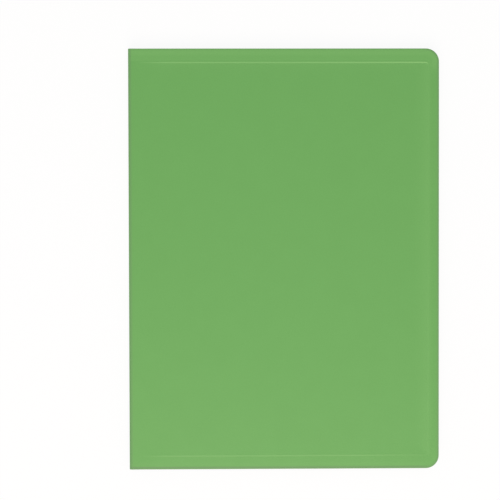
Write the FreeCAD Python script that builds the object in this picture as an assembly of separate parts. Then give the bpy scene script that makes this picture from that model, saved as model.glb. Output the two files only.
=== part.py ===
"""Stamp album with a soft plastic cover, closed and lying on its back cover.

Millimetres. +X runs from the spine to the fore edge, +Y from the tail to the head and +Z up from the
back cover to the front cover. The origin is the middle of the underside. Leaf 1 is the first leaf under
the front cover.
"""
import FreeCAD, Part
import math
import os

# Cover: one sheet with two scored folds at the spine
COVER_WIDTH = 225.0
COVER_HEIGHT = 305.0
COVER_SHEET = 0.8
FORE_CORNER_RADIUS = 9.5
FOLD_RADIUS = 1.6

# Leaves: stiff cards that stop short of the cover's edges, and open between the middle two
LEAF_COUNT = 8
MIDDLE_LEAVES = (LEAF_COUNT // 2, LEAF_COUNT // 2 + 1)
CARD_THICKNESS = 0.4
CARD_CORNER_RADIUS = 3.0
FORE_EDGE_MARGIN = 7.0
HEAD_MARGIN = 9.5
TAIL_MARGIN = 9.5
HINGE_MARGIN = 16.0

# Pocket strips: clear film welded along its foot and both ends
STRIP_COUNT = 9
FILM_THICKNESS = 0.08
POCKET_DEPTH = 0.10
STRIP_GAP = 5.0
PAGE_MARGIN = 8.0
STRIP_END_MARGIN = 3.0
SEAM_WIDTH = 2.0

# Interleaves: glassine sheets glued along their inner edge
INTERLEAF_THICKNESS = 0.08
INTERLEAF_INSET = 1.0
INTERLEAF_SHORT = 2.0

# Cloth hinges, and the strip in the spine that they are glued to
BINDING_THICKNESS = 0.3
TAPE_THICKNESS = 0.15
TAPE_LAP = 8.0
SCORE_WIDTH = 0.6
SCORE_DEPTH = 0.05
ROOT_OFFSET = 0.4

# Air between a leaf and the sheet above or below it
LEAF_CLEARANCE = 0.08

# Sizes that follow from those above
POCKET_HEIGHT = POCKET_DEPTH + FILM_THICKNESS
LEAF_THICKNESS = CARD_THICKNESS + 2 * POCKET_HEIGHT
LEAF_PITCH = LEAF_THICKNESS + INTERLEAF_THICKNESS + 2 * LEAF_CLEARANCE
BLOCK_THICKNESS = (LEAF_COUNT - 1) * LEAF_PITCH + LEAF_THICKNESS + 2 * LEAF_CLEARANCE
ALBUM_THICKNESS = BLOCK_THICKNESS + 2 * COVER_SHEET

SPINE_X = -COVER_WIDTH / 2
FORE_X = COVER_WIDTH / 2
TAIL_Y = -COVER_HEIGHT / 2
HEAD_Y = COVER_HEIGHT / 2
FOLD_INNER_RADIUS = FOLD_RADIUS - COVER_SHEET
BINDING_X = SPINE_X + COVER_SHEET + BINDING_THICKNESS

CARD_X = SPINE_X + HINGE_MARGIN
CARD_FORE_X = FORE_X - FORE_EDGE_MARGIN
CARD_TAIL_Y = TAIL_Y + TAIL_MARGIN
CARD_HEAD_Y = HEAD_Y - HEAD_MARGIN
STRIP_PITCH = (CARD_HEAD_Y - CARD_TAIL_Y - 2 * PAGE_MARGIN + STRIP_GAP) / STRIP_COUNT
STRIP_HEIGHT = STRIP_PITCH - STRIP_GAP


def slab(x, y, z):
    """Box between the low and high value of each axis."""
    corner = FreeCAD.Vector(x[0], y[0], z[0])
    return Part.makeBox(x[1] - x[0], y[1] - y[0], z[1] - z[0], corner)


def sheet(x, y, z, corner_radius):
    """Flat sheet between low and high values, with its two corners at the high x rounded."""
    r = corner_radius
    cut = r * (1 - math.sqrt(0.5))

    def point(px, py):
        return FreeCAD.Vector(px, py, z[0])

    low_inner = point(x[0], y[0])
    low_start = point(x[1] - r, y[0])
    low_middle = point(x[1] - cut, y[0] + cut)
    low_end = point(x[1], y[0] + r)
    high_start = point(x[1], y[1] - r)
    high_middle = point(x[1] - cut, y[1] - cut)
    high_end = point(x[1] - r, y[1])
    high_inner = point(x[0], y[1])
    edges = [
        Part.LineSegment(low_inner, low_start).toShape(),
        Part.Arc(low_start, low_middle, low_end).toShape(),
        Part.LineSegment(low_end, high_start).toShape(),
        Part.Arc(high_start, high_middle, high_end).toShape(),
        Part.LineSegment(high_end, high_inner).toShape(),
        Part.LineSegment(high_inner, low_inner).toShape(),
    ]
    face = Part.Face(Part.Wire(edges))
    return face.extrude(FreeCAD.Vector(0, 0, z[1] - z[0]))


def flipped(shape, height):
    """The shape turned upside down in the level plane at this height."""
    return shape.mirror(FreeCAD.Vector(0, 0, height), FreeCAD.Vector(0, 0, 1))


def back_cover():
    return sheet((SPINE_X + FOLD_RADIUS, FORE_X), (TAIL_Y, HEAD_Y), (0, COVER_SHEET), FORE_CORNER_RADIUS)


def rear_living_hinge():
    """Quarter tube that carries the cover sheet round from the back cover to the spine."""
    centre = FreeCAD.Vector(SPINE_X + FOLD_RADIUS, TAIL_Y, FOLD_RADIUS)
    along = FreeCAD.Vector(0, 1, 0)
    outer = Part.makeCylinder(FOLD_RADIUS, COVER_HEIGHT, centre, along)
    inner = Part.makeCylinder(FOLD_INNER_RADIUS, COVER_HEIGHT, centre, along)
    quarter = slab((SPINE_X, SPINE_X + FOLD_RADIUS), (TAIL_Y, HEAD_Y), (0, FOLD_RADIUS))
    return outer.cut(inner).common(quarter)


def spine_panel():
    height = (FOLD_RADIUS, ALBUM_THICKNESS - FOLD_RADIUS)
    return slab((SPINE_X, SPINE_X + COVER_SHEET), (TAIL_Y, HEAD_Y), height)


def binding_strip():
    height = (FOLD_RADIUS, ALBUM_THICKNESS - FOLD_RADIUS)
    return slab((SPINE_X + COVER_SHEET, BINDING_X), (CARD_TAIL_Y, CARD_HEAD_Y), height)


def leaf_height(number):
    """Height of a leaf's mid-plane: leaf 1 is the top one."""
    lowest = COVER_SHEET + LEAF_CLEARANCE + LEAF_THICKNESS / 2
    return lowest + (LEAF_COUNT - number) * LEAF_PITCH


def in_lower_half(number):
    """Whether a leaf stays on the back cover when the album opens at its middle."""
    return number >= MIDDLE_LEAVES[1]


def leaf_fold_x(number):
    """Where a leaf's cloth hinge folds: further out nearer the middle, so that open leaves stack."""
    depth = LEAF_COUNT - number if in_lower_half(number) else number - 1
    return BINDING_X + ROOT_OFFSET + depth * LEAF_PITCH


def leaf_card(number):
    middle = leaf_height(number)
    height = (middle - CARD_THICKNESS / 2, middle + CARD_THICKNESS / 2)
    return sheet((CARD_X, CARD_FORE_X), (CARD_TAIL_Y, CARD_HEAD_Y), height, CARD_CORNER_RADIUS)


def hinge_foot_height(number):
    """A hinge's foot stops short of the next hinge, and the middle two share the gap between cards."""
    if number in MIDDLE_LEAVES:
        return (LEAF_PITCH - CARD_THICKNESS - LEAF_CLEARANCE) / 2
    return LEAF_PITCH - LEAF_CLEARANCE


def leaf_hinge(number):
    """Cloth tape on the card's side that faces the album's middle, with a foot on the binding strip."""
    middle = leaf_height(number)
    low = middle + CARD_THICKNESS / 2
    high = low + TAPE_THICKNESS
    along = (CARD_TAIL_Y, CARD_HEAD_Y)
    band = slab((BINDING_X, CARD_X + TAPE_LAP), along, (low, high))
    foot = slab((BINDING_X, BINDING_X + TAPE_THICKNESS), along, (low, low + hinge_foot_height(number)))
    fold = leaf_fold_x(number)
    score_x = (fold - SCORE_WIDTH / 2, fold + SCORE_WIDTH / 2)
    score = slab(score_x, along, (low, low + SCORE_DEPTH))
    tape = band.fuse(foot).removeSplitter().cut(score)
    return tape if in_lower_half(number) else flipped(tape, middle)


def pocket_strip(low_y, low_z):
    """One strip of film that stands off the card on three seams and is open towards the head."""
    x = (CARD_X + TAPE_LAP + STRIP_END_MARGIN, CARD_FORE_X - STRIP_END_MARGIN)
    y = (low_y, low_y + STRIP_HEIGHT)
    seam_z = (low_z, low_z + POCKET_DEPTH)
    film = slab(x, y, (low_z + POCKET_DEPTH, low_z + POCKET_HEIGHT))
    foot = slab(x, (y[0], y[0] + SEAM_WIDTH), seam_z)
    inner_end = slab((x[0], x[0] + SEAM_WIDTH), y, seam_z)
    fore_end = slab((x[1] - SEAM_WIDTH, x[1]), y, seam_z)
    return film.fuse([foot, inner_end, fore_end]).removeSplitter()


def front_strips(number):
    low_z = leaf_height(number) + CARD_THICKNESS / 2
    first_y = CARD_TAIL_Y + PAGE_MARGIN
    rows = [first_y + row * STRIP_PITCH for row in range(STRIP_COUNT)]
    return Part.makeCompound([pocket_strip(low_y, low_z) for low_y in rows])


def back_strips(number):
    return flipped(front_strips(number), leaf_height(number))


def interleaf_height(number):
    """Height of an interleaf's underside: interleaf 1 lies under leaf 1, on leaf 2."""
    return leaf_height(number + 1) + LEAF_THICKNESS / 2 + LEAF_CLEARANCE


def interleaf(number):
    low = interleaf_height(number)
    x = (CARD_X + INTERLEAF_INSET, CARD_FORE_X - INTERLEAF_SHORT)
    y = (CARD_TAIL_Y + INTERLEAF_SHORT, CARD_HEAD_Y - INTERLEAF_SHORT)
    return slab(x, y, (low, low + INTERLEAF_THICKNESS))


def album():
    """Every piece by name."""
    middle = ALBUM_THICKNESS / 2
    pieces = {
        "back_cover": back_cover(),
        "rear_living_hinge": rear_living_hinge(),
        "spine_panel": spine_panel(),
        "front_living_hinge": flipped(rear_living_hinge(), middle),
        "front_cover": flipped(back_cover(), middle),
        "binding_strip": binding_strip(),
    }
    for number in range(1, LEAF_COUNT + 1):
        leaf = f"leaf_{number}"
        pieces[f"{leaf}_card"] = leaf_card(number)
        pieces[f"{leaf}_hinge"] = leaf_hinge(number)
        pieces[f"{leaf}_front_strips"] = front_strips(number)
        pieces[f"{leaf}_back_strips"] = back_strips(number)
    for number in range(1, LEAF_COUNT):
        pieces[f"interleaf_{number}"] = interleaf(number)
    return pieces


def main():
    os.makedirs("parts", exist_ok=True)
    pieces = album()
    for name, shape in pieces.items():
        shape.exportStep(f"parts/{name}.step")
    solids = sum(len(shape.Solids) for shape in pieces.values())
    print(f"{len(pieces)} nodes, {solids} solids, closed thickness {ALBUM_THICKNESS:.2f} mm")


if __name__ == "__main__":
    main()
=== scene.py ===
# %% [markdown]
# # A soft-cover stamp album
# The album lies closed on its back cover. Its cover is one sheet of grained green polypropylene, scored
# and folded twice at the spine. Inside are eight black stock cards on cloth hinges, each with clear
# pocket strips on both pages, and thin glassine sheets between them. The CAD model holds the sizes and
# the joints, so it is loaded first as a frame that never changes. This lesson then makes what the eye
# sees: soft edges, grain, film, cloth and paper.

# %% Load the frame
import math
import random

import bmesh
import bpy
import numpy as np
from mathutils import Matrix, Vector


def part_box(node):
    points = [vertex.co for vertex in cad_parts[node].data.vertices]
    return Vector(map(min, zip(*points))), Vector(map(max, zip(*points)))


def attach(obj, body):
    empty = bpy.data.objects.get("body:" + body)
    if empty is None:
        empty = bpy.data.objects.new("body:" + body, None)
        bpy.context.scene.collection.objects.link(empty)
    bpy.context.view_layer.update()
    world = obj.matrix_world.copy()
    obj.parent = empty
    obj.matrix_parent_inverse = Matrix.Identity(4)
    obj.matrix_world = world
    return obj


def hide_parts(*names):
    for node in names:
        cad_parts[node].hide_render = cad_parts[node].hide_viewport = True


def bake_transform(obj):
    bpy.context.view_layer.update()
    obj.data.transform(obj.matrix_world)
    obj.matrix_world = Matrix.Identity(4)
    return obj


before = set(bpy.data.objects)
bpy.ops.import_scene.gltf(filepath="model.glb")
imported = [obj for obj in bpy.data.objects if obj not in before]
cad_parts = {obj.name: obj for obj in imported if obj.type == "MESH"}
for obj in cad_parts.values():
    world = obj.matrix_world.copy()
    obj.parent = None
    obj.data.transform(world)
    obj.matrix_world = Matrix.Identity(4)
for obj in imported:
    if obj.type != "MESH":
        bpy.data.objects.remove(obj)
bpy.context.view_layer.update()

# %% [markdown]
# ## Measure before modelling
# A maker measures the old piece before cutting the new one. The sizes below are read from the CAD nodes,
# in metres, so that a changed CAD model gives a changed album and none of them has to be fitted by eye.

# %% Sizes of the cover, the cards and the leaves
MM = 0.001
ON_EDGE = 0.01 * MM
LEAVES = range(1, 1 + sum(node.endswith("_card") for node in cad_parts))
front_low, front_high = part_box("front_cover")
spine_low, spine_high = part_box("spine_panel")
card_low, card_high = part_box("leaf_1_card")
COVER_THICK = front_high.z - front_low.z
SPINE_X = spine_low.x
FORE_X = front_high.x
HALF_HEIGHT = front_high.y
ALBUM_THICK = front_high.z
FOLD_RADIUS = spine_low.z


def corner_radius(node):
    """Radius of the two rounded fore-edge corners, from the straight part of the fore edge."""
    points = [vertex.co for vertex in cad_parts[node].data.vertices]
    fore = max(point.x for point in points)
    straight = max(point.y for point in points if fore - point.x < ON_EDGE)
    return max(point.y for point in points) - straight


COVER_CORNER = corner_radius("front_cover")
CARD_CORNER = corner_radius("leaf_1_card")
print(f"{len(LEAVES)} leaves in a cover of {COVER_THICK / MM:.2f} mm, {ALBUM_THICK / MM:.2f} mm in all")
print(f"corner radius: cover {COVER_CORNER / MM:.1f} mm, card {CARD_CORNER / MM:.1f} mm")

# %% [markdown]
# ## Nodes with less typing
# Every finish here is a small network of shader nodes. A few helpers keep the networks readable: `feed`
# sets or links a socket, `add` makes a node, and `calc` makes a Math node. They do nothing that can't be
# done by hand in the shader editor.

# %% Make a node and feed its sockets
def feed(tree, socket, value):
    """Link another socket into this one, or set its own value."""
    if isinstance(value, bpy.types.NodeSocket):
        tree.links.new(value, socket)
    else:
        socket.default_value = value


def feed_all(tree, node, **inputs):
    """Feed several sockets of a node by name, with _ for a space."""
    for name, value in inputs.items():
        feed(tree, node.inputs[name.replace("_", " ")], value)


def add(tree, kind, options=None, **inputs):
    """One node: options are its settings, and inputs its sockets by name."""
    made = tree.nodes.new("ShaderNode" + kind)
    for name, value in (options or {}).items():
        setattr(made, name, value)
    feed_all(tree, made, **inputs)
    return made


print("a node is fed by the names of its sockets, with a number, a colour or a link")

# %% Sums, mixes and what a mesh says
MIX_COLOUR_INPUTS = (0, 6, 7)
MIX_COLOUR_RESULT = 2


def calc(tree, operation, *values):
    """The result of one Math node."""
    made = add(tree, "Math", {"operation": operation})
    for socket, value in zip(made.inputs, values):
        feed(tree, socket, value)
    return made.outputs[0]


def between(tree, value, low, high, to_low=0.0, to_high=1.0):
    """A value taken smoothly from one range to another, and held at its ends."""
    ends = {"From_Min": low, "From_Max": high, "To_Min": to_low, "To_Max": to_high}
    made = add(tree, "MapRange", {"interpolation_type": "SMOOTHSTEP"}, Value=value, **ends)
    return made.outputs["Result"]


def mix_colour(tree, share, first, second):
    """One colour going over into another."""
    made = add(tree, "Mix", {"data_type": "RGBA"})
    for index, value in zip(MIX_COLOUR_INPUTS, (share, first, second)):
        feed(tree, made.inputs[index], value)
    return made.outputs[MIX_COLOUR_RESULT]


def mix_shaders(tree, share, first, second):
    """One shader going over into another."""
    made = add(tree, "MixShader", Fac=share)
    tree.links.new(first.outputs[0], made.inputs[1])
    tree.links.new(second.outputs[0], made.inputs[2])
    return made.outputs[0]


def attribute(tree, name):
    """What a mesh says at each of its points, such as how near the cut edge is."""
    return add(tree, "Attribute", {"attribute_name": name}).outputs


print("a Mix node takes a share and two colours at its sockets", MIX_COLOUR_INPUTS)

# %% [markdown]
# ## Stage, light and camera
# The album is lit plainly: an even white surround, and one large soft lamp on the tail side that is a
# little stronger, so that pressed lines show and the satin plastic shines more towards the tail. Whatever
# the camera sees past the album is white. That comes from the Light Path node, which tells camera rays
# from the rays that carry light, so the background gets white without one extra lamp on the album. The
# floor mixes that white with a real diffuse surface and so keeps a faint shadow.

# %% White surround
WHITE = (1, 1, 1, 1)
SURROUND_LOW = 0.32
SURROUND_HIGH = 0.86
scene = bpy.context.scene
scene.view_settings.view_transform = "Standard"


def seen_directly(tree):
    """1 for rays from the camera, mirror rays and rays through clear film, else 0."""
    path = add(tree, "LightPath").outputs
    shiny = calc(tree, "MAXIMUM", path["Is Glossy Ray"], path["Is Transmission Ray"])
    return calc(tree, "MAXIMUM", path["Is Camera Ray"], shiny)


surround = bpy.data.worlds.new("white_surround")
surround.use_nodes = True
scene.world = surround
tree = surround.node_tree
tree.nodes.clear()
upward = add(tree, "SeparateXYZ", Vector=add(tree, "TexCoord").outputs["Generated"]).outputs["Z"]
level = add(tree, "MapRange", Value=upward, To_Min=SURROUND_LOW, To_Max=SURROUND_HIGH).outputs["Result"]
lighting = add(tree, "Background", Color=WHITE, Strength=level)
backdrop = add(tree, "Background", Color=WHITE, Strength=1.0)
add(tree, "OutputWorld", Surface=mix_shaders(tree, seen_directly(tree), lighting, backdrop))
print("surround lights from", SURROUND_LOW, "at the horizon to", SURROUND_HIGH, "overhead")

# %% Pale floor that keeps the shadow
FLOOR_SIDE = 6.0
FLOOR_PAINT = (0.9, 0.9, 0.9, 1)
FLOOR_WHITE_SHARE = 0.92
FLOOR_DROP = 0.05 * MM

floor_paint = bpy.data.materials.new("pale_floor")
floor_paint.use_nodes = True
tree = floor_paint.node_tree
tree.nodes.clear()
matt = add(tree, "BsdfDiffuse", Color=FLOOR_PAINT)
white = add(tree, "Emission", Color=WHITE, Strength=1.0)
white_share = calc(tree, "MULTIPLY", seen_directly(tree), FLOOR_WHITE_SHARE)
add(tree, "OutputMaterial", Surface=mix_shaders(tree, white_share, matt, white))

half = FLOOR_SIDE / 2
floor_corners = [(-half, -half, 0), (half, -half, 0), (half, half, 0), (-half, half, 0)]
floor_mesh = bpy.data.meshes.new("floor")
floor_mesh.from_pydata(floor_corners, [], [(0, 1, 2, 3)])
floor_mesh.materials.append(floor_paint)
floor = bpy.data.objects.new("floor", floor_mesh)
floor.location.z = -FLOOR_DROP
scene.collection.objects.link(floor)
print("floor", FLOOR_SIDE, "m square")

# %% Soft lamp on the tail side
LAMP_SIDE = 1.5
LAMP_POWER = 34.5
LAMP_AT = (-0.08, -1.5, 1.75)
LAMP_COLOUR = (1.0, 0.82, 0.69)

lamp_data = bpy.data.lights.new("soft_lamp", "AREA")
lamp_data.size = LAMP_SIDE
lamp_data.energy = LAMP_POWER
lamp_data.color = LAMP_COLOUR
lamp = bpy.data.objects.new("soft_lamp", lamp_data)
lamp.location = LAMP_AT
lamp.rotation_mode = "QUATERNION"
lamp.rotation_quaternion = lamp.location.to_track_quat("Z", "Y")
scene.collection.objects.link(lamp)
print("lamp", LAMP_POWER, "W at", LAMP_AT)

# %% Camera straight above
CAMERA_LENS = 90.0
CAMERA_SENSOR = 36.0
CAMERA_AT = (-36.6 * MM, 25.5 * MM, 915.2 * MM)
CAMERA_TURN = (-1.176, -0.756, -0.133)

camera_data = bpy.data.cameras.new("camera")
camera_data.lens = CAMERA_LENS
camera_data.sensor_width = CAMERA_SENSOR
camera = bpy.data.objects.new("camera", camera_data)
camera.location = CAMERA_AT
camera.rotation_euler = [math.radians(angle) for angle in CAMERA_TURN]
scene.collection.objects.link(camera)
scene.camera = camera
print("camera", round(camera.location.z / MM), "mm above the table")

# %% [markdown]
# ## Effects for the finishes
# Grain, rubbed edges, paper fibres, weave and handling marks are patterns that each finish places at its
# own size, and most of them turn up in more than one finish. Each is a node group with named sockets,
# made once. A group could also hold the whole shader, but then an exported model couldn't read it, so the
# groups give only masks and heights.

# %% A node group with named sockets
def new_group(name, inputs, outputs):
    """An empty group, its input sockets to read from and its output sockets to feed."""
    tree = bpy.data.node_groups.new(name, "ShaderNodeTree")
    for socket_name, start in inputs.items():
        kind = "NodeSocketVector" if start is None else "NodeSocketFloat"
        socket = tree.interface.new_socket(socket_name, in_out="INPUT", socket_type=kind)
        if start is not None:
            socket.default_value = start
    for socket_name in outputs:
        tree.interface.new_socket(socket_name, in_out="OUTPUT", socket_type="NodeSocketFloat")
    print("group", name, "gives", ", ".join(outputs))
    return tree, tree.nodes.new("NodeGroupInput").outputs, tree.nodes.new("NodeGroupOutput").inputs


def use(tree, group, **inputs):
    """Place a group in a material and give its outputs."""
    return add(tree, "Group", {"node_tree": group}, **inputs).outputs


def in_sizes(tree, place, size):
    """The place counted in sizes given in millimetres, so that a pattern gets its real scale."""
    count = calc(tree, "DIVIDE", 1 / MM, size)
    return add(tree, "VectorMath", {"operation": "SCALE"}, Vector=place, Scale=count).outputs[0]


def streaks(tree, place, turns, thinness, low, high, **noise):
    """Thin lines in several directions: noise stretched along each, from low to high."""
    found = None
    for turn, thin in zip(turns, thinness):
        turned = add(tree, "Mapping", Vector=place, Rotation=(0, 0, turn), Scale=(1, thin, 1))
        lines = add(tree, "TexNoise", Vector=turned.outputs[0], Scale=1.0, **noise)
        line = between(tree, lines.outputs[0], low, high)
        found = line if found is None else calc(tree, "MAXIMUM", found, line)
    return found


print("patterns count their place in millimetres, though the meshes are in metres")

# %% Moulded grain
PIT_SHARE = 0.7

sockets = {"Place": None, "Size": 0.4}
grain, given, wanted = new_group("moulded_grain", sockets, ["Height", "Mottle", "Speckle"])
place = in_sizes(grain, given["Place"], given["Size"])
pebbles = add(grain, "TexVoronoi", {"feature": "SMOOTH_F1"}, Vector=place, Scale=1.0, Smoothness=0.6)
pits = add(grain, "TexNoise", Vector=place, Scale=1.7, Detail=3.0, Roughness=0.6)
rounded = calc(grain, "SUBTRACT", 1.0, pebbles.outputs["Distance"])
feed(grain, wanted["Height"], calc(grain, "MULTIPLY_ADD", pits.outputs[0], PIT_SHARE, rounded))
patches = add(grain, "TexNoise", Vector=place, Scale=0.02, Detail=4.0, Roughness=0.65)
feed(grain, wanted["Mottle"], between(grain, patches.outputs[0], 0.3, 0.7))
specks = add(grain, "TexNoise", Vector=place, Scale=0.4, Detail=2.0, Roughness=0.7)
feed(grain, wanted["Speckle"], between(grain, specks.outputs[0], 0.25, 0.75))

# %% Rubbed edges
NICK_SIZE = 2.2

rubbed, given, wanted = new_group("rubbed_edge", {"Place": None, "Edge": 0.0, "Broken": 0.5}, ["Mask"])
place = in_sizes(rubbed, given["Place"], NICK_SIZE)
nicks = add(rubbed, "TexNoise", Vector=place, Scale=1.0, Detail=5.0, Roughness=0.7)
uneven = calc(rubbed, "MULTIPLY", calc(rubbed, "SUBTRACT", nicks.outputs[0], 0.5), given["Broken"])
feed(rubbed, wanted["Mask"], between(rubbed, calc(rubbed, "ADD", given["Edge"], uneven), 0.3, 0.9))

# %% Paper fibres
FIBRE_TURNS = (0.4, 1.7, 2.6)
FIBRE_THINNESS = (9.0, 11.0, 8.0)
FLECK_HEIGHT = 0.4

sockets = {"Place": None, "Length": 3.0}
fibres, given, wanted = new_group("paper_fibres", sockets, ["Flecks", "Cloud", "Tooth"])
place = in_sizes(fibres, given["Place"], given["Length"])
flecks = streaks(fibres, place, FIBRE_TURNS, FIBRE_THINNESS, 0.62, 0.74, Detail=1.0, Distortion=0.4)
feed(fibres, wanted["Flecks"], flecks)
cloud = add(fibres, "TexNoise", Vector=place, Scale=0.35, Detail=5.0, Roughness=0.6)
feed(fibres, wanted["Cloud"], between(fibres, cloud.outputs[0], 0.3, 0.7))
tooth = add(fibres, "TexNoise", Vector=place, Scale=14.0, Detail=3.0, Roughness=0.7)
feed(fibres, wanted["Tooth"], calc(fibres, "MULTIPLY_ADD", flecks, FLECK_HEIGHT, tooth.outputs[0]))

# %% Plain weave
UNDER_DEPTH = 0.35
FUZZ_HEIGHT = 0.25

weave, given, wanted = new_group("plain_weave", {"Place": None, "Thread": 0.5}, ["Height", "GapShade"])
place = in_sizes(weave, given["Place"], given["Thread"])
split = add(weave, "SeparateXYZ", Vector=place).outputs


def thread_run(across, along):
    """Height of the threads in one direction: round across, and over and under along."""
    round_top = calc(weave, "ABSOLUTE", calc(weave, "SINE", calc(weave, "MULTIPLY", across, math.pi)))
    side = calc(weave, "MULTIPLY", calc(weave, "FLOOR", across), math.pi)
    over = calc(weave, "SINE", calc(weave, "MULTIPLY_ADD", along, math.pi, side))
    lowered = calc(weave, "MULTIPLY_ADD", over, UNDER_DEPTH, 1 - UNDER_DEPTH)
    return calc(weave, "MULTIPLY", round_top, lowered)


warp = thread_run(split["X"], split["Y"])
shifted = calc(weave, "ADD", split["X"], 1.0)
weft = thread_run(split["Y"], shifted)
top = calc(weave, "MAXIMUM", warp, weft)
fuzz = add(weave, "TexNoise", Vector=place, Scale=3.0, Detail=3.0)
feed(weave, wanted["Height"], calc(weave, "MULTIPLY_ADD", fuzz.outputs[0], FUZZ_HEIGHT, top))
# Where the threads are low, in the gaps between them, the colour is painted darker as shade
feed(weave, wanted["GapShade"], between(weave, top, 0.25, 0.6, 1.0, 0.0))

# %% Handling marks
SCUFF_TURNS = (0.3, 1.1, 2.4)
SCUFF_THINNESS = (55, 55, 55)

marks, given, wanted = new_group("handling_marks", {"Place": None, "Length": 30.0}, ["Scuffs", "Smear"])
place = in_sizes(marks, given["Place"], given["Length"])
scuffs = streaks(marks, place, SCUFF_TURNS, SCUFF_THINNESS, 0.74, 0.8, Detail=0.0)
feed(marks, wanted["Scuffs"], scuffs)
smear = add(marks, "TexNoise", Vector=place, Scale=1.2, Detail=3.0, Distortion=0.8)
feed(marks, wanted["Smear"], between(marks, smear.outputs[0], 0.35, 0.75))

# %% [markdown]
# ## Finishes
# Each finish is one Principled shader. What is the same all over, such as how clear the film is, is set
# on the shader itself. What changes over the surface comes from the groups above. The sheets carry their
# flat place, before folding, as a point attribute named `place`, so that grain and weave stay put when
# the album opens. A second attribute, `edge`, is 1 along the cut edge.

# %% Start a finish
def new_finish(name):
    """A material, its node tree and its Principled shader."""
    material = bpy.data.materials.new(name)
    material.use_nodes = True
    print("finish", name)
    return material, material.node_tree, material.node_tree.nodes["Principled BSDF"]


def rubbed_edge(tree, place, broken):
    """Where the cut edge is rubbed, in a line that is more or less broken."""
    return use(tree, rubbed, Place=place, Edge=attribute(tree, "edge")["Fac"], Broken=broken)["Mask"]


print("edges are rubbed by the group", rubbed.name)

# %% [markdown]
# ### Grained green plastic
# The real sheet is coloured right through and rolled with a fine pebble grain, which makes it satin and
# not glossy. The grain could be modelled, but with pebbles of about 0.4 mm it would take millions of
# faces, so it is a bump. The colour wanders a little between two greens. It is painted paler along the
# line over the cards, where the plastic is whitened and the paleness also stands in for the highlight on
# that line, and paler in the margins as painted light coming through the sheet. It is painted darker along
# its rim and its fold as the shade of their rounded edges. Both come from attributes of the cover's mesh.

# %% Grained green polypropylene
GREEN = (0.1233, 0.3735, 0.0877, 1)
GREEN_DEEP = (0.1144, 0.3505, 0.0802, 1)
GREEN_RIM_SHADE_AND_WEAR = (0.122, 0.29, 0.097, 1)
GREEN_WHITENED_AND_LIT = (0.2307, 0.5128, 0.1637, 1)
MOTTLE_SHARE = 0.25
RUBBED_SHARE = 0.5
SATIN = (0.45, 0.47)
SCUFF_POLISH = -0.04
SMEAR_DULLING = 0.012

cover_plastic, tree, shader = new_finish("cover_plastic")
place = attribute(tree, "place")["Vector"]
moulding = use(tree, grain, Place=place, Size=0.38)
worn = rubbed_edge(tree, place, broken=0.7)
handled = use(tree, marks, Place=place, Length=34.0)
speckle = calc(tree, "MULTIPLY", moulding["Speckle"], 1 - MOTTLE_SHARE)
shade = calc(tree, "MULTIPLY_ADD", moulding["Mottle"], MOTTLE_SHARE, speckle)
colour = mix_colour(tree, shade, GREEN, GREEN_DEEP)
# Painted paler: whitening with a painted highlight on the line over the cards, and painted light through
# the margins
colour = mix_colour(tree, attribute(tree, "whitening_and_painted_light")["Fac"], colour, GREEN_WHITENED_AND_LIT)
# Painted shade: the rim and the fold are darker as the shade of their rounded edges
colour = mix_colour(tree, attribute(tree, "rim")["Fac"], colour, GREEN_RIM_SHADE_AND_WEAR)
colour = mix_colour(tree, calc(tree, "MULTIPLY", worn, RUBBED_SHARE), colour, GREEN_RIM_SHADE_AND_WEAR)
satin = between(tree, moulding["Mottle"], 0.0, 1.0, *SATIN)
satin = calc(tree, "MULTIPLY_ADD", handled["Scuffs"], SCUFF_POLISH, satin)
satin = calc(tree, "MULTIPLY_ADD", handled["Smear"], SMEAR_DULLING, satin)
bump = add(tree, "Bump", Strength=0.9, Distance=0.05 * MM, Height=moulding["Height"])
feed_all(tree, shader, Base_Color=colour, Roughness=satin, Normal=bump.outputs[0], IOR=1.49)

# %% [markdown]
# ### Black stock card
# The card is dyed black, dull and a little fibrous, and its cut edge goes grey where fingers rub it. A
# picture of paper could give the fibres, but stretched noise needs no file and stays sharp from close by.

# %% Black stock card
CARD_BLACK = (0.011, 0.011, 0.012, 1)
CARD_FIBRE = (0.028, 0.028, 0.030, 1)
CARD_CORE = (0.055, 0.054, 0.053, 1)
CARD_DULL = (0.62, 0.78)
FLECK_SHARE = 0.7
CORE_SHARE = 0.7

stock_card, tree, shader = new_finish("stock_card")
place = attribute(tree, "place")["Vector"]
paper = use(tree, fibres, Place=place, Length=1.6)
worn = rubbed_edge(tree, place, broken=0.9)
colour = mix_colour(tree, calc(tree, "MULTIPLY", paper["Flecks"], FLECK_SHARE), CARD_BLACK, CARD_FIBRE)
colour = mix_colour(tree, calc(tree, "MULTIPLY", worn, CORE_SHARE), colour, CARD_CORE)
dull = between(tree, paper["Cloud"], 0.0, 1.0, *CARD_DULL)
bump = add(tree, "Bump", Strength=0.4, Distance=0.03 * MM, Height=paper["Tooth"])
feed_all(tree, shader, Base_Color=colour, Roughness=dull, Normal=bump.outputs[0])
feed_all(tree, shader, IOR=1.45, Specular_IOR_Level=0.35)

# %% [markdown]
# ### Clear pocket film
# The pockets are clear film. A surface with a low alpha would look clear too, but it would lose the shine
# that tells film from air. So the film is glass that bends light as plastic does, smooth where it is
# clean and rougher where it is scuffed or smeared. A slow bump stands for cockles too shallow to model.

# %% Clear pocket film
FILM_TINT = (0.97, 0.98, 0.985, 1)
FILM_CLEAN = 0.035
FILM_SCUFFED = 0.10
FILM_SMEARED = 0.05
COCKLE_SIZE = 34.0

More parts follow.
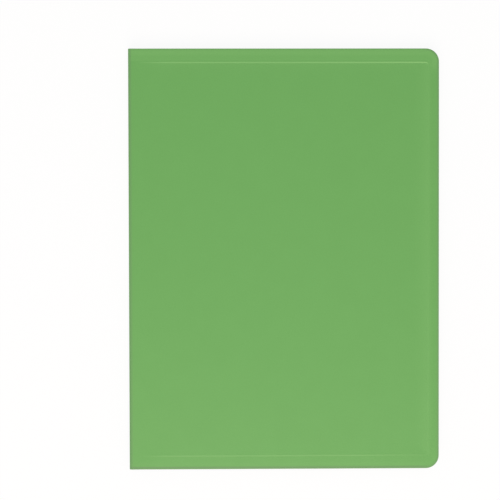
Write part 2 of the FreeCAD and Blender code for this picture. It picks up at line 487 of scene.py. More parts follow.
clear_film, tree, shader = new_finish("clear_film")
place = attribute(tree, "place")["Vector"]
handled = use(tree, marks, Place=place, Length=18.0)
gloss = calc(tree, "MULTIPLY_ADD", handled["Scuffs"], FILM_SCUFFED, FILM_CLEAN)
gloss = calc(tree, "MULTIPLY_ADD", handled["Smear"], FILM_SMEARED, gloss)
cockle = add(tree, "TexNoise", Vector=in_sizes(tree, place, COCKLE_SIZE), Scale=1.0, Detail=0.0)
bump = add(tree, "Bump", Strength=0.5, Distance=1.0 * MM, Height=cockle.outputs[0])
feed_all(tree, shader, Roughness=gloss, Normal=bump.outputs[0])
feed_all(tree, shader, Base_Color=FILM_TINT, Transmission_Weight=1.0, IOR=1.49)

# %% [markdown]
# ### Glassine
# Glassine is thin, smooth paper that lets the page under it show. Light could be traced through it as
# through wax, but that is slow and exports badly. So it is an ordinary surface with a low alpha, and its
# fibres and clouds change how milky it is from place to place.

# %% Glassine paper
GLASSINE_PALE = (0.78, 0.80, 0.79, 1)
GLASSINE_FIBRE = (0.87, 0.89, 0.88, 1)
GLASSINE_MILKY = (0.21, 0.24)
GLASSINE_FLECK = 0.05

glassine, tree, shader = new_finish("glassine")
place = attribute(tree, "place")["Vector"]
paper = use(tree, fibres, Place=place, Length=5.0)
colour = mix_colour(tree, paper["Flecks"], GLASSINE_PALE, GLASSINE_FIBRE)
milky = between(tree, paper["Cloud"], 0.0, 1.0, *GLASSINE_MILKY)
milky = calc(tree, "MULTIPLY_ADD", paper["Flecks"], GLASSINE_FLECK, milky)
bump = add(tree, "Bump", Strength=0.3, Distance=0.05 * MM, Height=paper["Tooth"])
feed_all(tree, shader, Base_Color=colour, Alpha=milky, Roughness=0.41, Normal=bump.outputs[0])

# %% [markdown]
# ### Linen and lining
# The hinges are black book linen, and the spine is lined with a coarser cloth. Threads this fine can't be
# modelled one by one, so the weave group gives their height for the bump, and the gaps between them,
# which the colour paints darker as shade. Both cloths use the same group with a different thread.

# %% Black linen and the lining of the spine
LINEN_BLACK = (0.014, 0.014, 0.015, 1)
LINEN_TOP_AND_WORN = (0.040, 0.040, 0.042, 1)
LINING_GREY = (0.020, 0.020, 0.021, 1)
LINING_GAP_SHADE = (0.009, 0.009, 0.010, 1)

hinge_linen, tree, shader = new_finish("hinge_linen")
place = attribute(tree, "place")["Vector"]
cloth = use(tree, weave, Place=place, Thread=0.42)
worn = rubbed_edge(tree, place, broken=1.2)
# Painted shade in the gaps between threads; the thread tops take the lighter colour, which the worn edge
# uses too
colour = mix_colour(tree, cloth["GapShade"], LINEN_TOP_AND_WORN, LINEN_BLACK)
colour = mix_colour(tree, calc(tree, "MULTIPLY", worn, RUBBED_SHARE), colour, LINEN_TOP_AND_WORN)
bump = add(tree, "Bump", Strength=0.7, Distance=0.06 * MM, Height=cloth["Height"])
feed_all(tree, shader, Base_Color=colour, Roughness=0.85, Normal=bump.outputs[0], Sheen_Weight=0.15)

spine_lining, tree, shader = new_finish("spine_lining")
place = add(tree, "TexCoord").outputs["Object"]
upright = add(tree, "Mapping", Vector=place, Rotation=(0, math.radians(90), 0)).outputs[0]
cloth = use(tree, weave, Place=upright, Thread=0.8)
# Painted shade in the gaps between threads
colour = mix_colour(tree, cloth["GapShade"], LINING_GREY, LINING_GAP_SHADE)
bump = add(tree, "Bump", Strength=0.6, Distance=0.08 * MM, Height=cloth["Height"])
feed_all(tree, shader, Base_Color=colour, Roughness=0.8, Normal=bump.outputs[0])

# %% [markdown]
# ## One way to make every sheet
# Cover, cards, film, cloth and paper are all sheets that were cut flat and then laid or folded. So one
# function makes them all: it draws the flat sheet as a grid, rounds its cut edge a little, and asks a
# second function where each point of the flat sheet lies in space. A plain box with a Bevel modifier
# would be quicker, but it can't be folded round a spine, and it wouldn't know its flat place.

# %% Stations along a sheet
NEAR_GROWTH = 0.25
INWARD_POWER = 1.6


def spaced(low, high, step):
    """Even stations from low to high, no further apart than step."""
    return list(np.linspace(low, high, max(1, math.ceil((high - low) / step)) + 1))


def stations(*groups, least):
    """Several lists of stations in one, in order, with none closer together than least."""
    merged = sorted(value for group in groups for value in group)
    kept = merged[:1]
    for value in merged[1:-1]:
        if value - kept[-1] >= least and merged[-1] - value >= least:
            kept.append(value)
    return np.array(kept + merged[-1:])


def near(middle, step, count):
    """Stations close around a line, closer together nearer to it."""
    steps = [step * k * (1 + NEAR_GROWTH * k) for k in range(1, count + 1)]
    return [middle] + [middle + side * away for away in steps for side in (-1, 1)]


def inward(first, last, count):
    """Distances in from an edge, close together at first and wider further in."""
    return [first + (last - first) * (k / count) ** INWARD_POWER for k in range(count + 1)]


def both_sides(values):
    """The same stations on either side of the middle."""
    return [side * value for value in values for side in (-1, 1)]


print("stations near 0:", [round(value, 2) for value in sorted(near(0, 0.2, 3))])
print("distances in from an edge:", [round(value, 2) for value in inward(0.5, 9.5, 6)])

# %% Round the two far corners of a flat grid
def round_corners(u, v, radius):
    """Bend the lines of the grid round its two far corners, as arcs about one centre in each."""
    end, half = u.max(), v.max()
    along = (u - end + radius) / radius
    across = (np.abs(v) - half + radius) / radius
    corner = (along > 0) & (across > 0)
    ring = np.where(corner, np.maximum(along, across), 1)
    lean = math.pi / 4 * np.minimum(along, across) / ring
    turn = np.where(along >= across, lean, math.pi / 2 - lean)
    round_u = end - radius + radius * ring * np.cos(turn)
    round_v = np.sign(v) * (half - radius + radius * ring * np.sin(turn))
    return np.where(corner, round_u, u), np.where(corner, round_v, v)


moved = round_corners(np.ones(1), np.ones(1), 1)
print("a square corner at 1, 1 rounded by 1 goes to", np.round(moved, 3).ravel())

# %% The rim and the faces of a closed sheet
def rim_of(index):
    """The points round the edge of a grid, in order."""
    return np.concatenate([index[:-1, 0], index[-1, :-1], index[:0:-1, -1], index[0, :0:-1]])


def closed_faces(index, rim, rings):
    """Faces of the front, the back and the edge, which has this many rings of points between the two."""
    corners = [index[:-1, :-1], index[1:, :-1], index[1:, 1:], index[:-1, 1:]]
    quads = np.stack(corners, axis=-1).reshape(-1, 4)
    back = index.size + rings * len(rim)
    loops = [index.size + k * len(rim) + np.arange(len(rim)) for k in range(rings)]
    loops = [rim] + loops + [back + rim]
    sides = [np.stack([a, np.roll(a, -1), np.roll(b, -1), b], axis=1) for a, b in zip(loops, loops[1:])]
    return np.concatenate([quads[:, ::-1], back + quads] + sides)


print("round a grid of 3 by 3 points:", rim_of(np.arange(9).reshape(3, 3)))

# %% Soften the cut edge
NEARLY_ALL = 0.9999
NO_LENGTH = 1e-12


def softening(ring, soft, sharp_at=None):
    """How far, and which way, each point of the rim moves in to round the edge.

    A first edge at sharp_at stays sharp between its two ends.
    """
    along = np.roll(ring, -1, axis=0) - np.roll(ring, 1, axis=0)
    outward = np.stack([along[:, 1], -along[:, 0]], axis=1)
    rounding = np.full((len(ring), 1), soft)
    if sharp_at is not None:
        at_start = ring[:, 0] == sharp_at
        outward[at_start, 0] = 0
        inside_row = np.abs(ring[:, 1]) < np.abs(ring[at_start, 1]).max() * NEARLY_ALL
        rounding[at_start & inside_row] = 0
    outward /= np.maximum(np.linalg.norm(outward, axis=1, keepdims=True), NO_LENGTH)
    return rounding * outward


square = np.array([(0.0, 0.0), (1.0, 0.0), (1.0, 1.0), (0.0, 1.0)])
print("the first corner of a square, softened by 0.1, moves by", np.round(softening(square, 0.1)[0], 3))

# %% Cut a sheet and lay it
def cut_sheet(us, vs, laid, thick, soft, corner=0.0, square_start=False):
    """A closed sheet with softened edges.

    us are stations along the flat sheet and vs across it. laid(u, v, depth) is where a point of the
    flat sheet lies in space, depth below its face. soft is the rounding of the cut edge, and corner the
    radius of the two far corners. square_start keeps the first edge sharp, where another sheet carries on.
    """
    u, v = np.meshgrid(us, vs, indexing="ij")
    if corner:
        u, v = round_corners(u, v, corner)
    index = np.arange(u.size).reshape(u.shape)
    rim = rim_of(index)
    flat = np.stack([u.ravel(), v.ravel()], axis=1)
    ring = flat[rim].copy()
    inset = softening(ring, soft, us[0] if square_start else None)
    flat[rim] = ring - inset

    # The face, the rings down the rounded edge, and the back
    bevel = 1 - math.sqrt(0.5)
    profile = [(bevel, bevel * soft), (0, soft), (0, thick - soft), (bevel, thick - bevel * soft)]
    layers = [(flat, 0.0)] + [(ring - share * inset, depth) for share, depth in profile] + [(flat, thick)]
    places = [np.column_stack([layer, np.full(len(layer), depth)]) for layer, depth in layers]
    place = np.concatenate(places)
    on_rim = np.isin(index.ravel(), rim)
    edge = np.concatenate([on_rim, np.ones(len(profile) * len(rim)), on_rim]).astype(float)
    faces = closed_faces(index, rim, len(profile))
    return {"points": laid(*place.T), "faces": faces, "place": place, "edge": edge}


trial = cut_sheet(np.arange(4.0), np.arange(3.0), lambda *place: np.column_stack(place), 0.4, 0.1)
print("a sheet of 3 by 2 squares gets", len(trial["points"]), "points and", len(trial["faces"]), "faces")

# %% Turn cut sheets into one piece
def make_piece(name, sheets, material, slot, **more):
    """One object of one or more sheets. more holds further point attributes, each from the flat place."""
    points = np.concatenate([sheet["points"] for sheet in sheets])
    starts = np.cumsum([0] + [len(sheet["points"]) for sheet in sheets[:-1]])
    faces = np.concatenate([sheet["faces"] + start for sheet, start in zip(sheets, starts)])
    place = np.concatenate([sheet["place"] for sheet in sheets])
    mesh = bpy.data.meshes.new(name)
    mesh.from_pydata(points.tolist(), [], faces.tolist())
    mesh.attributes.new("place", "FLOAT_VECTOR", "POINT").data.foreach_set("vector", place.ravel())
    values = {"edge": np.concatenate([sheet["edge"] for sheet in sheets])}
    values.update({key: rule(*place.T) for key, rule in more.items()})
    for key, numbers in values.items():
        mesh.attributes.new(key, "FLOAT", "POINT").data.foreach_set("value", numbers)
    tidy = bmesh.new()
    tidy.from_mesh(mesh)
    bmesh.ops.recalc_face_normals(tidy, faces=tidy.faces)
    tidy.to_mesh(mesh)
    tidy.free()
    mesh.shade_smooth()
    mesh.materials.append(material)
    piece = bpy.data.objects.new(name, mesh)
    scene.collection.objects.link(piece)
    return piece


print("pieces keep their flat place, and say where their cut edge is")

# %% [markdown]
# ## The cover
# The real cover is die-cut from one sheet of plastic, scored twice and folded round the leaves. The sheet
# is soft, so the front shows what lies under it: a fine raised line along the edge of the cards, and
# beyond it margins that hang down a little. A bump map could draw that line, but a real ridge also shows
# from the side and in an exported mesh. The front panel, its fold and the spine are one mesh that bends
# at the front fold. The back panel and the rear fold are a second mesh, and the two meet in the score at
# the foot of the spine.

# %% Distances on the front panel
HEAD_MARGIN = HALF_HEIGHT - card_high.y
GUTTER_FADE = 28 * MM
CORNER_BLEND = 4 * MM


def smooth(value):
    """0 below 0, 1 above 1, and a smooth step between."""
    share = np.clip(value, 0, 1)
    return share * share * (3 - 2 * share)


def bell(value):
    """1 at 0, and less to both sides of it."""
    return np.exp(-0.5 * value ** 2)


def past_outline(x, y, fore, half_height, radius):
    """Distance outside an outline at the head, the tail and the fore edge, with two rounded corners."""
    over_x = x - fore + radius
    over_y = np.abs(y) - half_height + radius
    outside = np.hypot(np.maximum(over_x, 0), np.maximum(over_y, 0))
    return outside + np.minimum(np.maximum(over_x, over_y), 0) - radius


def past_cards(x, y):
    """Distance outside the cards."""
    return past_outline(x, y, card_high.x, card_high.y, CARD_CORNER)


def in_from_cut(x, y):
    """Distance in from the cover's cut edge."""
    return -past_outline(x, y, FORE_X, HALF_HEIGHT, COVER_CORNER)


def over_cards(x):
    """0 over the hinges and 1 over the cards, where the sheet is pressed."""
    return smooth((x - card_low.x) / GUTTER_FADE + 0.5)


def towards_fore(x, y):
    """0 along the cards' head and tail, and 1 along their fore edge."""
    return smooth((x - card_high.x - np.abs(y) + card_high.y) / CORNER_BLEND + 0.5)


print(f"the cards end {HEAD_MARGIN / MM:.1f} mm inside the cover's head and tail")

# %% Relief of the front panel
MARGIN_DROOP = 0.16 * MM
DROOP_FADE = 20 * MM
RIDGE_HEAD = 0.09 * MM
RIDGE_TAIL = 0.05 * MM
RIDGE_FORE = 0.05 * MM
RIDGE_WIDTH = 0.36 * MM
RIDGE_INSIDE_TAIL = 0.35 * MM
TAIL_RIDGE_LOSS = 0.6
GUTTER_DIP = 0.22 * MM
WAVE_HEIGHT = 0.04 * MM
WAVE_LENGTHS = (23 * MM, 31 * MM)
WAVE_STARTS = (0.7, 1.1)
WAVE_FADE = 30 * MM


def front_relief(x, y):
    """Height of the front panel's face above its flat plane."""
    away = past_cards(x, y)
    at_fore = towards_fore(x, y)
    from_fold = x - SPINE_X - FOLD_RADIUS
    droop = MARGIN_DROOP * smooth(away / HEAD_MARGIN) * smooth(from_fold / DROOP_FADE)
    tail = RIDGE_TAIL * (1 - TAIL_RIDGE_LOSS * smooth((x - card_high.x / 2) / (card_high.x / 2)))
    ends = np.where(y > 0, RIDGE_HEAD, tail)
    ridge = ends * (1 - at_fore) + RIDGE_FORE * at_fore
    from_crest = away + np.where(y > 0, 0, RIDGE_INSIDE_TAIL)
    ridge = ridge * bell(from_crest / RIDGE_WIDTH) * over_cards(x)
    gutter = np.clip(from_fold / (card_low.x - SPINE_X), 0, 1)
    dip = GUTTER_DIP * np.sin(math.pi * gutter) ** 2
    wave = np.sin(x / WAVE_LENGTHS[0] + WAVE_STARTS[0]) * np.sin(y / WAVE_LENGTHS[1] + WAVE_STARTS[1])
    return ridge - droop - dip + WAVE_HEIGHT * wave * smooth(from_fold / WAVE_FADE)


print(f"margins hang {MARGIN_DROOP / MM:.2f} mm, ridge {RIDGE_HEAD / MM:.2f} mm high at the head")

# %% [markdown]
# ### Paler and darker places
# This plastic whitens where it is strained, so the line over the edge of the cards is paler, and the paler
# line also stands in for the highlight on it: painted highlight, with a painted glow beside it at the
# head.
# A thin margin with nothing behind it lets light through, and that light is painted as a paler colour. The
# rim and the fold are painted darker as the shade of their rounded edges. These places could be painted by
# hand on the mesh. Here each is worked out from the distance to the cards or to the cut edge, so that it
# moves with the sizes.

# %% Where the front panel is paler
PALE_INSIDE_HEAD = 0.58 * MM
PALE_INSIDE_TAIL = 0.3 * MM
PALE_WIDTH = 0.3 * MM
PALE_HEAD = (0.58, 0.64, 1.0)
PALE_TAIL = (0.36, 0.086)
PALE_FORE = 0.118
PALE_FORE_INNER = 4.5 * MM
PALE_FORE_OUTER = 1.1 * MM
PALE_GLOW = 0.114
PALE_GLOW_REACH = 2.5 * MM
PALE_MARGIN_HEAD = (0.215, 0.12)
PALE_MARGIN_TAIL = (0.05, 0.0)
PALE_MARGIN_START = 0.6 * MM
PALE_MARGIN_STEP = 0.8 * MM
PALE_MARGIN_OUTER = 3.8 * MM
PALE_MARGIN_FADE = 1.8 * MM


def pale_margin(x, y):
    """How much paler the overhanging margins are, where light from the table comes through the sheet."""
    inward_by = in_from_cut(x, y)
    outer, inner = (np.where(y > 0, head, tail) for head, tail in zip(PALE_MARGIN_HEAD, PALE_MARGIN_TAIL))
    share = outer + (inner - outer) * smooth((inward_by - PALE_MARGIN_OUTER) / PALE_MARGIN_FADE)
    start = smooth((inward_by - PALE_MARGIN_START) / PALE_MARGIN_STEP)
    end = smooth(past_cards(x, y) / PALE_MARGIN_STEP)
    at_ends = smooth(2 - (HALF_HEIGHT - np.abs(y)) / COVER_CORNER)
    return share * start * end * at_ends


def pressed_pale_and_painted_light(x, y):
    """How much paler the face is painted: whitening and painted highlight on the line over the cards,
    a painted glow beside it at the head, and painted light coming through the margins.
    """
    inside = past_cards(x, y) + np.where(y > 0, PALE_INSIDE_HEAD, PALE_INSIDE_TAIL)
    at_fore = towards_fore(x, y)
    head = np.interp(x, (card_low.x, 0, card_high.x), PALE_HEAD)
    tail = np.interp(x, (card_high.x / 2, card_high.x), PALE_TAIL)
    crest = np.where(y > 0, head, tail) * bell(inside / PALE_WIDTH)
    glow = np.where(y > 0, PALE_GLOW, 0) * np.exp(-np.abs(inside) / PALE_GLOW_REACH) * (inside < 0)
    fore = PALE_FORE * bell(inside / np.where(inside < 0, PALE_FORE_INNER, PALE_FORE_OUTER))
    ends = np.maximum(crest, glow)
    return (ends * (1 - at_fore) + fore * at_fore) * over_cards(x) + pale_margin(x, y)


print("palest along the head line, where stress reaches", max(PALE_HEAD))

# %% Where the flat cover sheet lies
FOLD_LENGTH = math.pi / 2 * FOLD_RADIUS
PANEL_LENGTH = FORE_X - SPINE_X - FOLD_RADIUS
SPINE_LENGTH = spine_high.z - spine_low.z


def folded_sheet(spine_length, relief):
    """A function that lays a flat sheet up the spine, round the fold and out along the front panel."""

    def laid(u, v, depth):
        angle = np.clip((u - spine_length) / FOLD_RADIUS, 0, math.pi / 2)
        out = np.maximum(u - spine_length - FOLD_LENGTH, 0)
        radius = FOLD_RADIUS - depth
        x = SPINE_X + FOLD_RADIUS - radius * np.cos(angle) + out
        z = ALBUM_THICK - FOLD_RADIUS + radius * np.sin(angle) + np.minimum(u - spine_length, 0)
        return np.column_stack([x, v, z + np.where(out > 0, relief(x, v), 0)])

    return laid


def panel_x(u, spine_length):
    """How far across the album a place on the flat sheet comes, if it is on the panel."""
    return SPINE_X + FOLD_RADIUS - spine_length - FOLD_LENGTH + u


print(f"flat cover sheet: fold {FOLD_LENGTH / MM:.2f} mm, panel {PANEL_LENGTH / MM:.2f} mm")

# %% Where the cover sheet is marked
RIM_FULL = 1.25 * MM
RIM_FADE = 0.5 * MM
TAIL_RIM_MORE = 0.35 * MM
FOLD_RIM = 0.5 * MM
RIM_AT_FOLD = 0.65
RIM_AT_FORE = 0.64
RIM_AT_HEAD = 0.15
RIM_AT_TAIL = 1.0


def whitening_and_painted_light_at(spine_length, pressed):
    """Where the outer face is painted paler, over the flat sheet: whitening and painted light."""
    return lambda u, v, depth: np.where(depth < COVER_THICK / 2, pressed(panel_x(u, spine_length), v), 0)


def rim_shade_at(spine_length):
    """Where the flat sheet is painted darker as the shade of its rounded fold and cut edge, least at the
    head.
    """
    fold_middle = spine_length + FOLD_LENGTH / 2

    def rim(u, v, depth):
        x = panel_x(u, spine_length)
        by_an_end = smooth(1 - (HALF_HEIGHT - np.abs(v)) / COVER_CORNER)
        at_end = by_an_end * smooth((FORE_X - x) / COVER_CORNER - 0.5)
        share = RIM_AT_FORE + at_end * (np.where(v > 0, RIM_AT_HEAD, RIM_AT_TAIL) - RIM_AT_FORE)
        full = RIM_FULL + TAIL_RIM_MORE * at_end * (v < 0)
        cut = share * (1 - smooth((in_from_cut(x, v) - full) / RIM_FADE))
        past_fold = np.abs(u - fold_middle) - FOLD_LENGTH / 2 - FOLD_RIM
        fold = RIM_AT_FOLD * (1 - smooth(past_fold / RIM_FADE))
        return np.maximum(cut, fold)

    return rim


print(f"rim {RIM_FULL / MM:.2f} mm wide, and {(RIM_FULL + TAIL_RIM_MORE) / MM:.2f} mm at the tail")

# %% Stations of the cover sheets
EDGE_SOFT = 0.22 * MM
PANEL_STEP = 4 * MM
SPINE_STEP = 0.8 * MM
FOLD_STEP = 0.2 * MM
AFTER_FOLD_STEP = 0.3 * MM
AFTER_FOLD_ROWS = 4
RIDGE_STEP = 0.16 * MM
RIDGE_ROWS = 6
CORNER_ROWS = 11
LEAST_STEP = 0.12 * MM
corner_rows = inward(2 * EDGE_SOFT, COVER_CORNER, CORNER_ROWS) + [0]


def cover_stations(spine_length):
    """Stations up the spine, round the fold and along the panel, closer where the shape changes."""
    start = spine_length + FOLD_LENGTH
    end = start + PANEL_LENGTH
    ridge = start + card_high.x - SPINE_X - FOLD_RADIUS
    spine = spaced(0, spine_length, SPINE_STEP) if spine_length else []
    fold = spaced(spine_length, start, FOLD_STEP)
    after_fold = near(start, AFTER_FOLD_STEP, AFTER_FOLD_ROWS)[::2]
    panel = spaced(start, end - COVER_CORNER, PANEL_STEP)
    fore = near(ridge, RIDGE_STEP, RIDGE_ROWS) + [end - away for away in corner_rows]
    return stations([0, LEAST_STEP], spine, fold, after_fold, panel, fore, least=LEAST_STEP)


flat_part = HALF_HEIGHT - COVER_CORNER
ends = near(card_high.y, RIDGE_STEP, RIDGE_ROWS) + [HALF_HEIGHT - away for away in corner_rows]
cover_widths = stations(spaced(-flat_part, flat_part, PANEL_STEP), both_sides(ends), least=LEAST_STEP)
print(len(cover_stations(SPINE_LENGTH)), "stations along and", len(cover_widths), "across")

# %% Front panel, front fold and spine in one sheet
def cover_sheet(spine_length, relief):
    """Cover sheet from the foot of its spine to the fore edge, with a relief on its panel."""
    us = cover_stations(spine_length)
    laid = folded_sheet(spine_length, relief)
    return cut_sheet(us, cover_widths, laid, COVER_THICK, EDGE_SOFT, COVER_CORNER, square_start=True)


front_light_shade_and_whitening = {"whitening_and_painted_light": whitening_and_painted_light_at(SPINE_LENGTH, pressed_pale_and_painted_light), "rim": rim_shade_at(SPINE_LENGTH)}
sheet = cover_sheet(SPINE_LENGTH, front_relief)
front_sheet = make_piece("front_cover_sheet", [sheet], cover_plastic, "cover_sheet", **front_light_shade_and_whitening)
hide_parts("front_cover", "front_living_hinge", "spine_panel")
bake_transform(front_sheet)
print(front_sheet.name, len(front_sheet.data.polygons), "faces")

# %% Back panel and rear fold
def flat_relief(x, y):
    """The back panel lies flat on the table, and nothing presses through it."""
    return np.zeros_like(x)


def upside_down(sheet, height):
    """The sheet mirrored top to bottom, between the table and this height."""
    sheet["points"][:, 2] = height - sheet["points"][:, 2]
    return sheet


back_light_shade_and_whitening = {"whitening_and_painted_light": whitening_and_painted_light_at(0.0, flat_relief), "rim": rim_shade_at(0.0)}
sheet = upside_down(cover_sheet(0.0, flat_relief), ALBUM_THICK)
back_sheet = make_piece("back_cover_sheet", [sheet], cover_plastic, "cover_sheet", **back_light_shade_and_whitening)
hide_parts("back_cover", "rear_living_hinge")
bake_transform(back_sheet)
print(back_sheet.name, len(back_sheet.data.polygons), "faces")

# %% [markdown]
# ## The cards
# Each leaf is a stiff black card with two rounded fore-edge corners. Its cut edge shows a greyer core
# where it is handled. The eight cards are the same, and copies of one object could stand for them. Here
# each gets its own sheet from the same function, at the height that its CAD node has, because each rides
# on its own leaf and turns with it.

# %% Eight stock cards
CARD_SOFT = 0.08 * MM
CARD_STEP = 9 * MM
CARD_ROW = 0.4 * MM
CARD_CORNER_ROWS = 6
CARD_LEAST = 0.1 * MM
card_rows = [0] + inward(CARD_ROW, CARD_CORNER, CARD_CORNER_ROWS)


def card_sheet(number):
    """The card of one leaf, where its CAD node is."""
    low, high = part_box(f"leaf_{number}_card")
    length = high.x - low.x
    along = spaced(CARD_CORNER, length - CARD_CORNER, CARD_STEP)
    us = stations([0, CARD_ROW], along, [length - away for away in card_rows], least=CARD_LEAST)
    ends = [high.y - away for away in card_rows]
    vs = stations(spaced(-ends[-1], ends[-1], CARD_STEP), both_sides(ends), least=CARD_LEAST)

    def laid(u, v, depth):
        return np.column_stack([low.x + u, v, high.z - depth])

    return cut_sheet(us, vs, laid, high.z - low.z, CARD_SOFT, CARD_CORNER)


for number in LEAVES:
    card = make_piece(f"stock_card_{number}", [card_sheet(number)], stock_card, "stock_card")
    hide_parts(f"leaf_{number}_card")
    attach(card, f"leaf_{number}")
print(len(LEAVES), "cards,", len(card.data.polygons), "faces each")

# %% [markdown]
# ## The pocket strips
# A pocket is a strip of clear film welded to the card along its foot and both ends and left open at the
# top. The weld presses the film down onto the card in a narrow line. Between the welds the film stands
# off a little and is never quite flat, which is what makes its reflections wander. Each page of nine
# strips is one piece, as in the CAD model. The small waves could be a bump too, but as geometry they also
# show at the open mouth. They are smaller than the air between the leaves, so that the album still
# closes. All strips are cut one after the other from the same roll of film, so no two have the same
# ripples and scuffs.

# %% Rows of pockets, read from the CAD page
POCKET_PAGE = "leaf_1_front_strips"


def levels(node, axis):
    """Where a CAD node has points along x, y or z, to a thousandth of a millimetre, from low to high."""
    return sorted({round(getattr(vertex.co, axis), 6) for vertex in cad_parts[node].data.vertices})


# The foot, the top of the weld and the mouth of each strip, up the page
rows = np.array(levels(POCKET_PAGE, "y")).reshape(-1, 3)
weld_width = rows[0][1] - rows[0][0]
film_under, film_face = levels(POCKET_PAGE, "z")[-2:]
FILM_THICK = film_face - film_under
strip_height = rows[0][2] - rows[0][0]
print(f"{len(rows)} strips a page, {strip_height / MM:.1f} mm high, weld {weld_width / MM:.1f} mm")

# %% One strip of film
FILM_SOFT = 0.02 * MM
FILM_STEP_ALONG = 11 * MM
FILM_STEP_UP = 2.4 * MM
FILM_LEAST = 0.15 * MM
WELD_STEP = 0.3 * MM
WELD_ROWS = 3
WELD_LINE = 0.45 * MM
WELD_GAP = 0.006 * MM
WELD_REACH = 3
FILM_WAVE = 0.035 * MM
FILM_RIPPLES = (13 * MM, 29 * MM, 7 * MM)
MOUTH_ROW = 0.5 * MM
MOUTH_LIFT = 0.03 * MM
MOUTH_DEPTH = 3 * MM
MOUTH_RIPPLE = 21 * MM
wander = random.Random(11)


def wave_starts():
    """Where three waves start, drawn at random."""
    return [wander.uniform(0, 2 * math.pi) for wave in range(3)]


def film_strip(low, high, foot, mouth, card_face, out):
    """A strip from foot to mouth, on a card face at this height. out is 1 above the card, -1 below."""
    length = high.x - low.x
    height = mouth - foot
    stand = high.z - low.z
    starts = wave_starts()
    weld_middle = weld_width / 2
    ends = near(weld_middle, WELD_STEP, WELD_ROWS)
    far_ends = [length - end for end in ends]
    us = stations(spaced(0, length, FILM_STEP_ALONG), ends, far_ends, least=FILM_LEAST)
    heights = stations(spaced(0, height, FILM_STEP_UP), ends, [height - MOUTH_ROW], least=FILM_LEAST)

    def laid(u, v, depth):
        up = v + height / 2
        from_ends = np.minimum(np.abs(u - weld_middle), np.abs(length - weld_middle - u))
        from_weld = np.minimum(from_ends, np.abs(up - weld_middle))
        pressed = bell(from_weld / WELD_LINE) * (stand - FILM_THICK - WELD_GAP)
        free = smooth(np.minimum(np.minimum(u, length - u), up) / (WELD_REACH * weld_width))
        wave = np.sin(u / FILM_RIPPLES[0] + starts[0])
        wave = wave + np.sin(u / FILM_RIPPLES[1] + up / FILM_RIPPLES[2] + starts[1])
        at_mouth = smooth((up - height + MOUTH_DEPTH) / MOUTH_DEPTH)
        lift = MOUTH_LIFT * at_mouth * np.sin(u / MOUTH_RIPPLE + starts[2])
        above = stand - depth - pressed + free * (FILM_WAVE / 2 * wave + lift)
        return np.column_stack([low.x + u, foot + up, card_face + out * above])

    return cut_sheet(us, heights - height / 2, laid, FILM_THICK, FILM_SOFT)


print(f"film {FILM_THICK / MM:.2f} mm thick, pressed down to {WELD_GAP / MM:.3f} mm above the card")

# %% Every page of pockets
roll_used = 0.0
for number in LEAVES:
    card_bottom, card_top = (corner.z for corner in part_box(f"leaf_{number}_card"))
    for page, card_face, out in (("front", card_top, 1), ("back", card_bottom, -1)):
        node = f"leaf_{number}_{page}_strips"
        low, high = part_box(node)
        strips = [film_strip(low, high, foot, mouth, card_face, out) for foot, _, mouth in rows]
        for strip in strips:
            strip["place"][:, 0] += roll_used
            roll_used += high.x - low.x
        film = make_piece(f"pockets_{number}_{page}", strips, clear_film, "pocket_film")
        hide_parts(node)
        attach(film, f"leaf_{number}")
print(f"{2 * len(LEAVES)} pages, {len(film.data.polygons)} faces each, from {roll_used:.1f} m of film")

# %% [markdown]
# ## The cloth hinges
# A strip of black linen tape joins each card to the lining of the spine. Its foot is glued up the lining,
# it runs out over the card's inner edge and is glued down there, and between the two it is free to bend.
# A cloth simulation could drape it, but glued tape has only one place to go. It is a folded cloth sheet,
# and the size it was cut to is worked out with it. It blends from the spine to its leaf about the leaf's
# own
# joint.

# %% One linen hinge
TAPE_THICK = 0.15 * MM
TAPE_BEND = 0.18 * MM
TAPE_SOFT = 0.04 * MM
TAPE_FOOT_STEP = 0.08 * MM
TAPE_BAND_STEP = 0.35 * MM
TAPE_LEAST = 0.04 * MM
TAPE_STEP_ACROSS = 4.3 * MM
TAPE_END_ROW = 0.3 * MM
TAPE_LEAST_ACROSS = 0.15 * MM


def across_stations(half_width, step, end_row, least):
    """Even stations across a sheet, with one more row beside each end."""
    beside_ends = both_sides([half_width - end_row])
    return stations(spaced(-half_width, half_width, step), beside_ends, least=least)


def tape_sheet(number, low, high):
    """The tape of one leaf, and the size it was cut to."""
    card_bottom, card_top = (corner.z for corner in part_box(f"leaf_{number}_card"))
    faces_up = low.z > (card_bottom + card_top) / 2
    foot = high.z - low.z - TAPE_BEND
    band_start = foot + math.pi / 2 * TAPE_BEND
    length = band_start + high.x - low.x - TAPE_BEND

    def laid(u, v, depth):
        angle = np.clip((u - foot) / TAPE_BEND, 0, math.pi / 2)
        out = np.maximum(u - band_start, 0)
        radius = TAPE_BEND - depth
        x = low.x + TAPE_BEND - radius * np.cos(angle) + out
        above = TAPE_BEND - radius * np.sin(angle) - np.minimum(u - foot, 0)
        z = low.z + above if faces_up else high.z - above
        return np.column_stack([x, v, z])

    band = spaced(band_start, length, TAPE_BAND_STEP)
    us = stations(spaced(0, band_start, TAPE_FOOT_STEP), band, least=TAPE_LEAST)
    vs = across_stations(high.y, TAPE_STEP_ACROSS, TAPE_END_ROW, TAPE_LEAST_ACROSS)
    return cut_sheet(us, vs, laid, TAPE_THICK, TAPE_SOFT), (length, 2 * high.y)


print(f"tape {TAPE_THICK / MM:.2f} mm thick, bent round {TAPE_BEND / MM:.2f} mm at the foot")

for number in LEAVES:
    node = f"leaf_{number}_hinge"
    low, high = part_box(node)
    sheet, cut_size = tape_sheet(number, low, high)
    tape = make_piece(f"linen_hinge_{number}", [sheet], hinge_linen, "hinge_cloth")
    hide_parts(node)
    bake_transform(tape)
print(len(LEAVES), "hinges, the last cut to", [round(side / MM, 2) for side in cut_size], "mm")

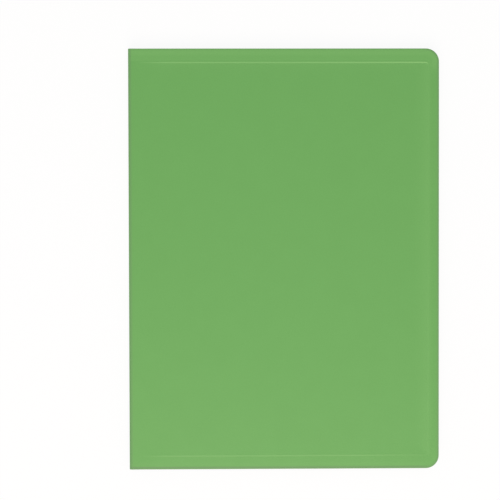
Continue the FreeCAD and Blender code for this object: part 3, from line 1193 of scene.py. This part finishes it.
# %% [markdown]
# ## The interleaves
# A sheet of glassine lies on each leaf but the first, glued along its inner edge, so that stamps on
# facing pages don't catch. It is thin, milky and a little cockled. It could turn stiffly about its glued
# edge, as it does in the CAD model. Here its grid is finer over the first 8 mm by the glued edge, and its
# cockles die away towards that edge.

# %% One sheet of glassine
GLASSINE_SOFT = 0.02 * MM
GLASSINE_WAVE = 0.02 * MM
GLASSINE_RIPPLES = (17 * MM, 23 * MM)
GLASSINE_SWELL = (41 * MM, 37 * MM)
GLASSINE_HELD = 20 * MM
FINE_LENGTH = 8 * MM
FINE_STEP = 0.25 * MM
GLASSINE_STEP_ALONG = 4 * MM
GLASSINE_STEP_ACROSS = 4.3 * MM
GLASSINE_END_ROW = 0.4 * MM
GLASSINE_LEAST = 0.2 * MM


def glassine_sheet(low, high):
    """One interleaf between the corners of its CAD box, a little cockled."""
    length = high.x - low.x
    starts = wave_starts()

    def laid(u, v, depth):
        wave = np.sin(u / GLASSINE_RIPPLES[0] + starts[0]) * np.sin(v / GLASSINE_RIPPLES[1] + starts[1])
        wave = wave + np.sin(u / GLASSINE_SWELL[0] + v / GLASSINE_SWELL[1] + starts[2])
        lift = GLASSINE_WAVE * wave * smooth(u / GLASSINE_HELD)
        return np.column_stack([low.x + u, v, high.z - depth + lift])

    rolling = spaced(0, FINE_LENGTH, FINE_STEP)
    resting = spaced(FINE_LENGTH, length, GLASSINE_STEP_ALONG)
    us = stations(rolling, resting, [length - GLASSINE_END_ROW], least=GLASSINE_LEAST)
    vs = across_stations(high.y, GLASSINE_STEP_ACROSS, GLASSINE_END_ROW, GLASSINE_LEAST)
    return cut_sheet(us, vs, laid, high.z - low.z, GLASSINE_SOFT)


print(f"glassine cockles by up to {2 * GLASSINE_WAVE / MM:.2f} mm")

for number in LEAVES[:-1]:
    node = f"interleaf_{number}"
    low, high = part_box(node)
    paper_sheet = make_piece(f"glassine_{number}", [glassine_sheet(low, high)], glassine, "glassine")
    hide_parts(node)
    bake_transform(paper_sheet)
print(len(LEAVES) - 1, "interleaves,", len(paper_sheet.data.polygons), "faces each")

# %% [markdown]
# ## The lining of the spine
# The lining is a plain woven strip glued inside the spine. It could be cut as one more sheet, but little
# of it ever shows and its CAD shape is right, so it stays as it is and only gets its finish.

# %% Dress the CAD node
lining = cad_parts["binding_strip"]
lining.data.materials.clear()
lining.data.materials.append(spine_lining)
print(lining.name, "keeps its CAD shape")
